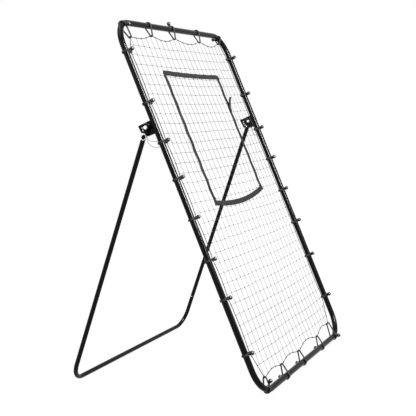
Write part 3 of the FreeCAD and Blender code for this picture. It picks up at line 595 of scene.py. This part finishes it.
def loop_line(at, inward, reach, ball_deg, ball_out, border_gap):
    """One elastic cord from its ball round tube and border cord, hooked under the ball, and back."""
    border_r = BORDER_D / 2 + border_gap + ELASTIC_D / 2
    tangent = acos((LOOP_TUBE_R - border_r) / reach)
    ball = radians(ball_deg % 360)
    behind = 2 * pi - tangent
    half = []

    def polar(r, angle, y, centre=0.0):
        half.append((centre + r * cos(angle), y, -r * sin(angle)))

    polar(ball_out - 0.006, ball, 0.0021)
    polar(0.0195, ball + radians(3), 0.0023)
    bends = max(2, round((behind - ball) / LOOP_STEP))
    first = ball + radians(min(16, 8 + 8 * bends / 4))
    for k in range(bends + 1):
        polar(LOOP_TUBE_R, first + (behind - first) * k / bends, ELASTIC_PAIR)
    for share in (0.35, 0.7):
        x = LOOP_TUBE_R * cos(behind) + (reach + border_r * cos(tangent) - LOOP_TUBE_R * cos(behind)) * share
        z = -LOOP_TUBE_R * sin(behind) + (border_r * sin(tangent) + LOOP_TUBE_R * sin(behind)) * share
        half.append((x, ELASTIC_PAIR, z))
    for k in range(5):
        polar(border_r, -tangent + 2 * tangent * k / 4, ELASTIC_PAIR, reach)
    for share in (0.35, 0.7):
        hooked = reach + border_r * cos(tangent)
        x = hooked + (LOOP_TUBE_R * cos(tangent) - hooked) * share
        z = -border_r * sin(tangent) + (border_r - LOOP_TUBE_R) * sin(tangent) * share
        half.append((x, ELASTIC_PAIR, z))
    hook = ball if ball > tangent else tangent - radians(1)
    wraps = int((hook - tangent) / LOOP_STEP)
    for k in range(wraps):
        polar(LOOP_TUBE_R, tangent + (hook - tangent) * k / (wraps + 0.6), ELASTIC_PAIR)
    polar(LOOP_TUBE_R + 0.0008, ball - radians(15), 0.0038)
    polar(LOOP_TUBE_R + 0.0022, ball, 0.0062)
    polar(LOOP_TUBE_R + 0.0034, ball + radians(13), 0.0044)
    other = [(x, -y, z) for x, y, z in reversed(half)]
    polar(LOOP_TUBE_R + 0.0038, ball + radians(17), 0.0)
    along = (inward[1], -inward[0])
    line = []
    for x, y, z in half + other:
        line.append(on_frame(at[0] + inward[0] * x + along[0] * y, z, at[1] + inward[1] * x + along[1] * y))
    return line


def make_loops():
    """All elastic loops, one piece for each run of the frame."""
    side_reach = SIDE_X - BORDER_SIDE_X
    top_reach = FRAME_HEIGHT - BORDER_TOP_S
    groups = {
        "elastic_loops_side": [((side * SIDE_X, s), (-side, 0), side_reach, FRONT_BALL, BALL_REACH, LOOP_GAP)
                               for side, heights in ((-1, LEFT_LOOPS), (1, RIGHT_LOOPS)) for s in heights],
        "elastic_loops_top": [((x, FRAME_HEIGHT), (0, -1), top_reach, ball, BALL_REACH, LOOP_GAP)
                              for x, ball in zip(RAIL_LOOPS, (BACK_BALL, TOP_BALL, BACK_BALL))],
        "elastic_loops_bottom": [((x, 0.0), (0, 1), BORDER_BOTTOM_S, LOW_BALL, BALL_REACH, LOOP_GAP)
                                 for x in RAIL_LOOPS],
        "elastic_loops_corner": [],
    }
    for side, rail, angle, border_r, ball_deg, ball_out in CORNER_LOOPS:
        out = corner_out(angle)
        centre = bend_centre(side, rail)
        at = (centre[0] + out[0] * CORNER_R, centre[1] + out[1] * CORNER_R)
        groups["elastic_loops_corner"].append(
            (at, (-out[0], -out[1]), CORNER_R - border_r, ball_deg, ball_out, CORNER_LOOP_GAP))
    for node, entries in groups.items():
        skin = Skin()
        for entry in entries:
            add_tube(skin, through(loop_line(*entry), 3), ELASTIC_D / 2, 10)
        loops = piece_from("braided_" + node, skin, elastic_finish)
        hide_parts(node)


make_loops()


# Border cord

def border_stops():
    """Closed list of the border cord's points in (x, s), with the arcs it hangs in between its loops."""
    def corner(side, rail):
        for loop_side, loop_rail, angle, r, _, _ in CORNER_LOOPS:
            if (loop_side, loop_rail) == (side, rail):
                out = corner_out(angle)
                centre = bend_centre(side, rail)
                return Vector((centre[0] + out[0] * r, centre[1] + out[1] * r))

    def arc(start, end, sag, fullness=1.0):
        """Points from start up to the end, pulled aside by sag in the middle."""
        count = max(4, round((end - start).length / BORDER_STEP))
        return [start.lerp(end, k / count) + sag * sin(pi * k / count) ** fullness for k in range(count)]

    stops = []
    rail = [corner(-1, -1)] + [Vector((x, BORDER_BOTTOM_S)) for x in RAIL_LOOPS] + [corner(1, -1)]
    for start, end, rise in zip(rail, rail[1:], BORDER_BOTTOM_RISES):
        middle = (start.y + end.y) / 2
        stops += arc(start, end, Vector((0, BORDER_BOTTOM_S + rise - middle)), BORDER_BOTTOM_FULLNESS)
    right = [corner(1, -1)] + [Vector((BORDER_SIDE_X, s)) for s in RIGHT_LOOPS] + [corner(1, 1)]
    for k, (start, end) in enumerate(zip(right, right[1:])):
        sag = BORDER_SIDE_SAG if 0 < k < len(RIGHT_LOOPS) else 0.001
        stops += arc(start, end, Vector((-sag, 0)))
    rail = [corner(1, 1)] + [Vector((x, BORDER_TOP_S)) for x in reversed(RAIL_LOOPS)] + [corner(-1, 1)]
    for start, end in zip(rail, rail[1:]):
        middle = (start.y + end.y) / 2
        stops += arc(start, end, Vector((0, BORDER_TOP_S - BORDER_TOP_SAG - middle)))
    left = [corner(-1, 1)] + [Vector((-BORDER_SIDE_X, s)) for s in reversed(LEFT_LOOPS)] + [corner(-1, -1)]
    for k, (start, end) in enumerate(zip(left, left[1:])):
        sag = BORDER_SIDE_SAG if 0 < k < len(LEFT_LOOPS) else 0.001
        stops += arc(start, end, Vector((sag, 0)))
    return stops


BORDER = border_stops()


def make_border():
    """Twisted cord round the net's edge."""
    line = through([on_frame(point.x, 0.0, point.y) for point in BORDER], 8, closed=True)
    skin = Skin()
    add_tube(skin, line, BORDER_D / 2, 12, closed=True, lobes=BORDER_STRANDS, lobe_depth=BORDER_GROOVE,
             turns=BORDER_TURNS)
    border = piece_from("twisted_border_cord", skin, border_finish)
    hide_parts("net_border_cord")


make_border()


# Net

def band_bottom(x):
    """Height of the target's lower webbing at x."""
    t = (x - BAND_LEFT) / (BAND_RIGHT - BAND_LEFT)
    straight = BAND_BOTTOM_LEFT + (BAND_BOTTOM_RIGHT - BAND_BOTTOM_LEFT) * t
    dip = (BAND_BOTTOM_LEFT + BAND_BOTTOM_RIGHT) / 2 - BAND_BOTTOM_MID
    return straight - dip * 4 * t * (1 - t)


def band_top(x):
    """Height of the target's upper webbing at x."""
    t = (x - BAND_LEFT) / (BAND_RIGHT - BAND_LEFT)
    return BAND_TOP_LEFT + (BAND_TOP_RIGHT - BAND_TOP_LEFT) * t - BAND_TOP_SAG * 4 * t * (1 - t)


def beside_band(x, s):
    """Point of the net, moved off the webbing that runs alongside it."""
    room = BAND_WIDTH / 2 + 0.0035
    low, high = band_bottom(x), band_top(x)
    if low - 0.03 < s < high + 0.03:
        for band in (BAND_LEFT, BAND_RIGHT):
            if abs(x - band) < room:
                x = band + (room if x > band else -room)
    if BAND_LEFT - 0.03 < x < BAND_RIGHT + 0.03:
        for band in (low, high):
            if abs(s - band) < room:
                s = band + (room if s > band else -room)
    return x, s


def uneven(at):
    """Smooth unevenness in three directions at a place, the same on every run."""
    asides = ((0.0, 0.0, 0.0), (31.7, 5.2, 11.9), (7.3, 41.1, 23.5))
    return Vector([noise.noise(at + Vector(aside)) for aside in asides])


def net_point(column, row):
    """Place of a knot in (x, q, s): square mesh, drawn up at the sides, slightly uneven."""
    x = column * MESH_X
    s = FIRST_ROW_S + row * MESH_S
    slow = uneven(Vector((x * 4.0, s * 4.0, 1.7)))
    fast = uneven(Vector((x * 17.0, s * 17.0, 9.3)))
    x += 0.0028 * slow.x + 0.0016 * fast.x
    s += 0.0036 * slow.y + 0.0022 * fast.y + 0.005 * abs(column / 10) ** 3
    q = 0.003 * slow.z + 0.0012 * fast.z
    x, s = beside_band(x, s)
    return Vector((x, q, s))


def inside_border(x, s):
    """Whether a point lies within the border cord."""
    inside = False
    for a, b in zip(BORDER, BORDER[1:] + BORDER[:1]):
        if (a.y > s) != (b.y > s) and x < a.x + (s - a.y) / (b.y - a.y) * (b.x - a.x):
            inside = not inside
    return inside


def border_crossing(start, way):
    """Where a line from a knot meets the border cord, as a point and the cord's direction there."""
    best = None
    for a, b in zip(BORDER, BORDER[1:] + BORDER[:1]):
        run = b - a
        cross = way[0] * run.y - way[1] * run.x
        if abs(cross) < 1e-9:
            continue
        dx, ds = a.x - start.x, a.y - start.z
        t = (dx * run.y - ds * run.x) / cross
        u = (dx * way[1] - ds * way[0]) / cross
        if t > 0 and 0 <= u <= 1 and (best is None or t < best[0]):
            best = (t, a + run * u, run.normalized())
    return best


def strand(skin, stops, drop):
    """Twine from knot to knot, hanging a little in between, with drop as its sideways give."""
    line = []
    for a, b in zip(stops, stops[1:]):
        give = noise.noise(Vector((a.x * 31 + 3.1, a.z * 31, drop[0] * 900)))
        bow = Vector((drop[0] * (0.6 + give), 0.0011 * give, -drop[1] * (0.9 + give)))
        for j in range(4):
            t = j / 4
            line.append(a.lerp(b, t) + bow * (4 * t * (1 - t)))
    line.append(stops[-1])
    add_tube(skin, [on_frame(*point) for point in line], TWINE_D / 2, 6)


def add_knot(skin, centre, turn):
    """Tight netting knot: one twine wrapped over itself."""
    line = []
    for k in range(18):
        t = 2 * pi * k / 18
        r = 0.00125 + 0.0006 * cos(3 * t)
        a, b, c = r * cos(2 * t), r * sin(2 * t), 0.0008 * sin(3 * t)
        line.append(on_frame(centre.x + a * cos(turn) - b * sin(turn), centre.y + c,
                             centre.z + a * sin(turn) + b * cos(turn)))
    add_tube(skin, line, TWINE_D * 0.62, 5, closed=True)


def add_border_tie(skin, at, way):
    """Twine looped twice round the border cord where a strand ends."""
    r = BORDER_D / 2 + TWINE_D / 2
    line = []
    for k in range(28):
        t = 4 * pi * k / 27
        run = (k / 27 - 0.5) * TWINE_D * 2.4
        aside = Vector((-way.y, way.x))
        line.append(on_frame(at.x + aside.x * r * cos(t) + way.x * run, r * sin(t),
                             at.y + aside.y * r * cos(t) + way.y * run))
    add_tube(skin, line, TWINE_D / 2, 5)


def make_net():
    """Every strand, knot and tie of the net."""
    skin = Skin()
    knots = {(c, r): net_point(c, r) for c in NET_COLUMNS for r in NET_ROWS}
    knots = {key: point for key, point in knots.items() if inside_border(point.x, point.z)}

    def run(keys, way, drop):
        stops = [knots[key] for key in keys if key in knots]
        ends = []
        for start, direction in ((stops[0], (-way[0], -way[1])), (stops[-1], way)):
            _, at, tangent = border_crossing(start, direction)
            short = BORDER_D * 0.6
            ends.append(Vector((at.x - direction[0] * short, 0.0, at.y - direction[1] * short)))
            add_border_tie(skin, at, tangent)
        strand(skin, [ends[0]] + stops + [ends[1]], drop)

    for c in NET_COLUMNS:
        run([(c, r) for r in NET_ROWS], (0, 1), (0.0008, 0.0))
    for r in NET_ROWS:
        run([(c, r) for c in NET_COLUMNS], (1, 0), (0.0, 0.0016))
    for (c, r), point in knots.items():
        add_knot(skin, point, noise.noise(Vector((c * 1.7, r * 2.3, 0.5))) * pi)
    net = piece_from("knotted_net", skin, netting_finish)
    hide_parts("net")


make_net()


# Webbing target

def woven_line(start, end, height_of, cells_from, pitch, level):
    """Line of webbing that passes before and behind the crossing strands in turn."""
    line = []
    count = max(12, round((end - start).length / BAND_STEP))
    for k in range(count + 1):
        point = start.lerp(end, k / count)
        run = point.x if height_of else point.y
        s = height_of(point.x) if height_of else point.y
        q = BAND_WAVE * cos(pi * (run - cells_from) / pitch) + level
        line.append(on_frame(point.x, q, s))
    return line


def corner_cut(past):
    """How much a rounded corner takes off the side of the webbing, at a distance from its end."""
    if past >= BAND_CORNER_R:
        return 0.0
    return BAND_CORNER_R - sqrt(BAND_CORNER_R ** 2 - (BAND_CORNER_R - max(past, 0.0)) ** 2)


def make_band():
    """Webbing rectangle woven through the net, doubled over at its corners."""
    skin = Skin()
    front = on_frame(0, -1, 0) - on_frame(0, 0, 0)
    over = BAND_WIDTH / 2
    for x in (BAND_LEFT, BAND_RIGHT):
        start = Vector((x, band_bottom(x) - over))
        end = Vector((x, band_top(x) + over))
        line = woven_line(start, end, None, FIRST_ROW_S, MESH_S, 0.0)
        cuts = [corner_cut((line[-1] - point).length) for point in line]
        trims = [(cut, 0.0) if x < 0 else (0.0, cut) for cut in cuts]
        add_ribbon(skin, line, [front] * len(line), BAND_WIDTH, BAND_T, trims)
    for height_of in (band_bottom, band_top):
        start = Vector((BAND_LEFT - over, 0))
        end = Vector((BAND_RIGHT + over, 0))
        line = woven_line(start, end, height_of, 0.0, MESH_X, -BAND_LAYER)
        cuts = [corner_cut(min(abs(point.x - start.x), abs(point.x - end.x))) for point in line]
        trims = [(cut, 0.0) for cut in cuts] if height_of is band_top else None
        add_ribbon(skin, line, [front] * len(line), BAND_WIDTH, BAND_T, trims)
    band = piece_from("woven_target_band", skin, band_finish)
    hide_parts("target_band")


def make_tail():
    """Free end of the webbing, curling up and forward."""
    x = BAND_RIGHT
    points = [(-0.0026, 1.268), (-0.0032, 1.282), (-0.0060, 1.297), (-0.0118, 1.311), (-0.0192, 1.325),
              (-0.0275, 1.337)]
    line = through([on_frame(x, q, s) for q, s in points], 4)
    front = on_frame(0, -1, 0) - on_frame(0, 0, 0)
    skin = Skin()
    add_ribbon(skin, line, [front] * len(line), BAND_WIDTH, BAND_T)
    tail = piece_from("curled_band_end", skin, band_finish)
    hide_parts("target_band_tail")


make_band()
make_tail()


# Lanyards

def spline_line(points):
    """Points along the smooth spline that has the given control points."""
    curve = bpy.data.curves.new("lanyard_route", "CURVE")
    curve.dimensions = "3D"
    curve.resolution_u = 8
    spline = curve.splines.new("NURBS")
    spline.points.add(len(points) - 1)
    for control, point in zip(spline.points, points):
        control.co = (*point, 1.0)
    spline.order_u = 3
    spline.use_endpoint_u = True
    route = bpy.data.objects.new("lanyard_route", curve)
    mesh = bpy.data.meshes.new_from_object(route)
    line = [vertex.co.copy() for vertex in mesh.vertices]
    bpy.data.meshes.remove(mesh)
    bpy.data.objects.remove(route)
    bpy.data.curves.remove(curve)
    return line


def make_lanyard(name, side, route):
    """Thin cord from the pin's ring round the elastic loop beside the side tube."""
    line = spline_line([on_frame(side * x, q, s) for x, q, s in route])
    skin = Skin()
    add_tube(skin, line, LANYARD_D / 2, 10)
    cord = piece_from("lanyard_cord_" + name, skin, lanyard_finish, body=None)
    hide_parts("pin_lanyard_" + name)
    length = sum((b - a).length for a, b in zip(line, line[1:]))
    print("lanyard", name, "spline length", round(length, 4))
    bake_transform(cord)


make_lanyard("left", -1, LEFT_LANYARD)
make_lanyard("right", 1, RIGHT_LANYARD)


# Stage and light

def seen_directly(tree):
    """1 for rays that show the background: from the camera, in gloss and through glass."""
    path = add_node(tree, "ShaderNodeLightPath")
    gloss = math_node(tree, "MAXIMUM", path.outputs["Is Camera Ray"], path.outputs["Is Glossy Ray"])
    return math_node(tree, "MAXIMUM", gloss, path.outputs["Is Transmission Ray"])


FLOOR_R, FLOOR_FADE_FROM, FLOOR_FADE_TO = 14, 1.0, 2.6


def make_floor():
    """Plain pale floor that fades into the background and keeps the object's shadow."""
    skin = Skin()
    steps = 48
    skin.points.append(Vector((0, 0, 0)))
    for k in range(steps):
        skin.points.append(Vector((FLOOR_R * cos(2 * pi * k / steps), FLOOR_R * sin(2 * pi * k / steps), 0)))
    for k in range(steps):
        skin.face((0, 1 + k, 1 + (k + 1) % steps), ((0, 0), (1, 0), (1, 1)))
    mesh = bpy.data.meshes.new("floor")
    mesh.from_pydata([tuple(point) for point in skin.points], [], skin.faces)
    material = bpy.data.materials.new("pale_floor")
    material.use_nodes = True
    tree = material.node_tree
    tree.nodes.clear()
    matt = add_node(tree, "ShaderNodeBsdfDiffuse", [("Color", (0.86, 0.86, 0.86, 1))])
    white = add_node(tree, "ShaderNodeEmission", [("Color", (1, 1, 1, 1)), ("Strength", 1.06)])
    place = add_node(tree, "ShaderNodeNewGeometry").outputs["Position"]
    away = add_node(tree, "ShaderNodeVectorMath", [(0, place)], operation="LENGTH").outputs["Value"]
    fade = add_node(tree, "ShaderNodeMapRange", [("Value", away), ("From Min", FLOOR_FADE_FROM),
                                                 ("From Max", FLOOR_FADE_TO), ("To Min", 0.88),
                                                 ("To Max", 1.0)]).outputs[0]
    share = math_node(tree, "MULTIPLY", seen_directly(tree), fade)
    mix = add_node(tree, "ShaderNodeMixShader", [(0, share), (1, matt.outputs[0]), (2, white.outputs[0])])
    add_node(tree, "ShaderNodeOutputMaterial", [("Surface", mix.outputs[0])])
    mesh.materials.append(material)
    floor = bpy.data.objects.new("floor", mesh)
    bpy.context.scene.collection.objects.link(floor)


def make_world():
    """White background; the object gets a plain soft light from it."""
    world = bpy.data.worlds.new("studio")
    bpy.context.scene.world = world
    world.use_nodes = True
    tree = world.node_tree
    tree.nodes.clear()
    light = add_node(tree, "ShaderNodeBackground", [("Color", (1, 1, 1, 1)), ("Strength", 0.45)])
    white = add_node(tree, "ShaderNodeBackground", [("Color", (1, 1, 1, 1)), ("Strength", 1.0)])
    mix = add_node(tree, "ShaderNodeMixShader", [(0, seen_directly(tree)), (1, light.outputs[0]),
                                                 (2, white.outputs[0])])
    add_node(tree, "ShaderNodeOutputWorld", [("Surface", mix.outputs[0])])


def softbox(name, place, aim, width, height, power, upright, gloss_only=False):
    """Rectangular lamp that faces a point, with its height along a given direction."""
    data = bpy.data.lights.new(name, "AREA")
    data.shape = "RECTANGLE"
    data.size = width
    data.size_y = height
    data.energy = power
    lamp = bpy.data.objects.new(name, data)
    bpy.context.scene.collection.objects.link(lamp)
    back = (Vector(place) - Vector(aim)).normalized()
    right = Vector(upright).cross(back).normalized()
    up = back.cross(right)
    lamp.matrix_world = Matrix.Translation(Vector(place)) @ Matrix((right, up, back)).transposed().to_4x4()
    lamp.visible_diffuse = not gloss_only


make_floor()
make_world()
along_frame = (0, sin(LEAN), cos(LEAN))
softbox("strip_softbox", (-0.86, -2.4, 2.45), (-0.3, -0.1, 0.95), 0.5, 1.5, 520.0, along_frame,
        gloss_only=True)
softbox("front_softbox", (0.55, -3.3, 2.35), (0, -0.13, 0.83), 0.55, 2.6, 40.0, along_frame)
softbox("overhead_softbox", (-1.2, 0.6, 4.2), (0, 0, 0.6), 2.4, 2.4, 70.0, (0, 1, 0))
softbox("side_softbox", (-3.4, 1.6, 2.2), (0, 0, 0.7), 1.6, 1.6, 25.0, (0, 0, 1))

bpy.context.scene.view_settings.view_transform = "Standard"
